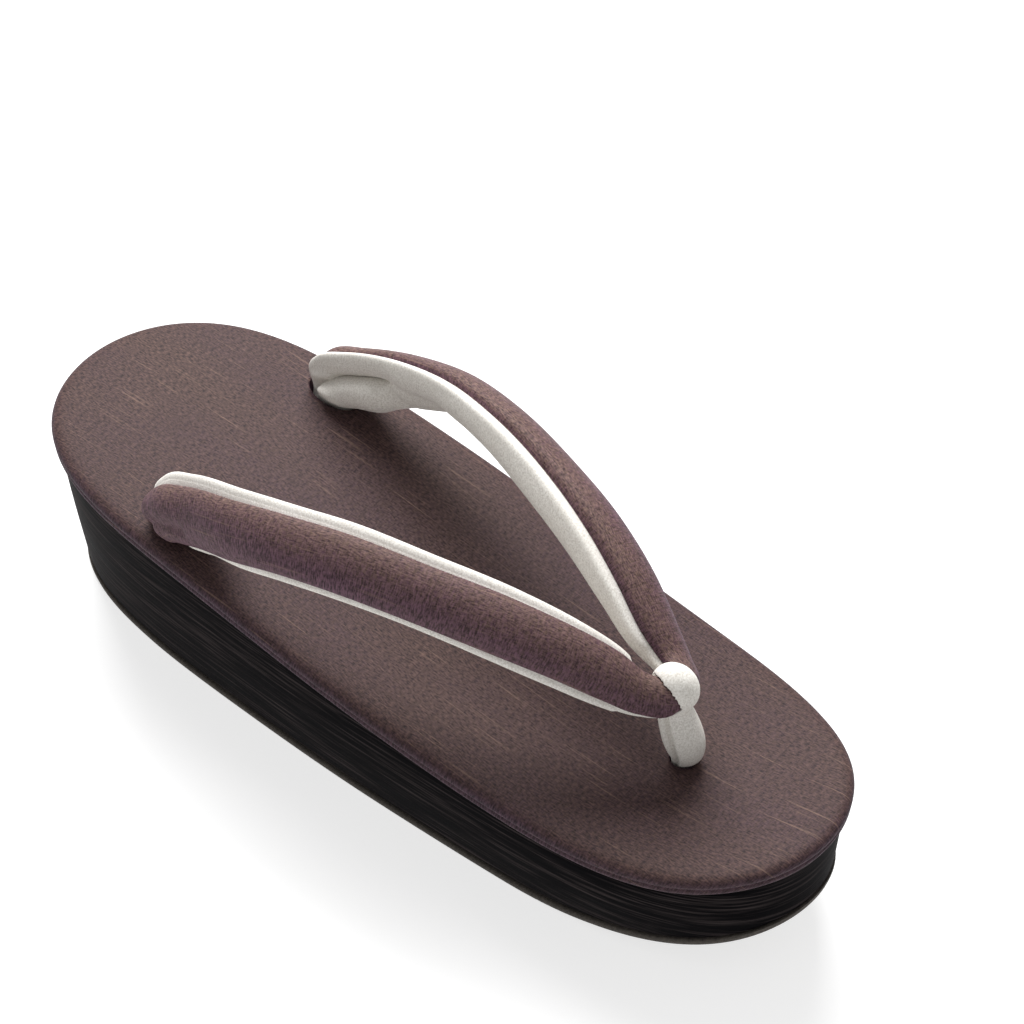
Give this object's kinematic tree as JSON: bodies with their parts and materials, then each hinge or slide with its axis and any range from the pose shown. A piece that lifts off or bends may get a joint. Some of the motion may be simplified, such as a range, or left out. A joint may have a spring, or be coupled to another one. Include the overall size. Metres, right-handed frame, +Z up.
{
  "type": "zori sandal",
  "caption": "Zori sandal: cloth-wrapped footbed on a thick wedge platform with a thin rubber outsole, and padded straps, lined in suede, that meet in a suede toe loop.",
  "frame": {"origin": "on the floor under the middle of the sole's length and width", "axes": "+Y toward the toe, +X toward the wearer's right, +Z up"},
  "size_m": [0.0826, 0.24, 0.0868],
  "materials": {
    "outsole_rubber": "matt brown-grey crepe rubber sheet",
    "platform_black": "near-black satin wrap with a fine streaked grain along the sole",
    "footbed_cloth": "fine plain-woven cloth, brown shot with purple, with raised slubs",
    "strap_cloth": "fine plain-woven cloth over padding",
    "strap_suede": "off-white suede with a short nap",
    "loop_suede": "off-white suede with a short nap"
  },
  "bodies": {
    "root": {"outsole": "outsole_rubber", "platform": "platform_black", "footbed": "footbed_cloth", "strap_face": "strap_cloth", "strap_lining": "strap_suede", "toe_loop": "loop_suede"}
  },
  "joints": []
}
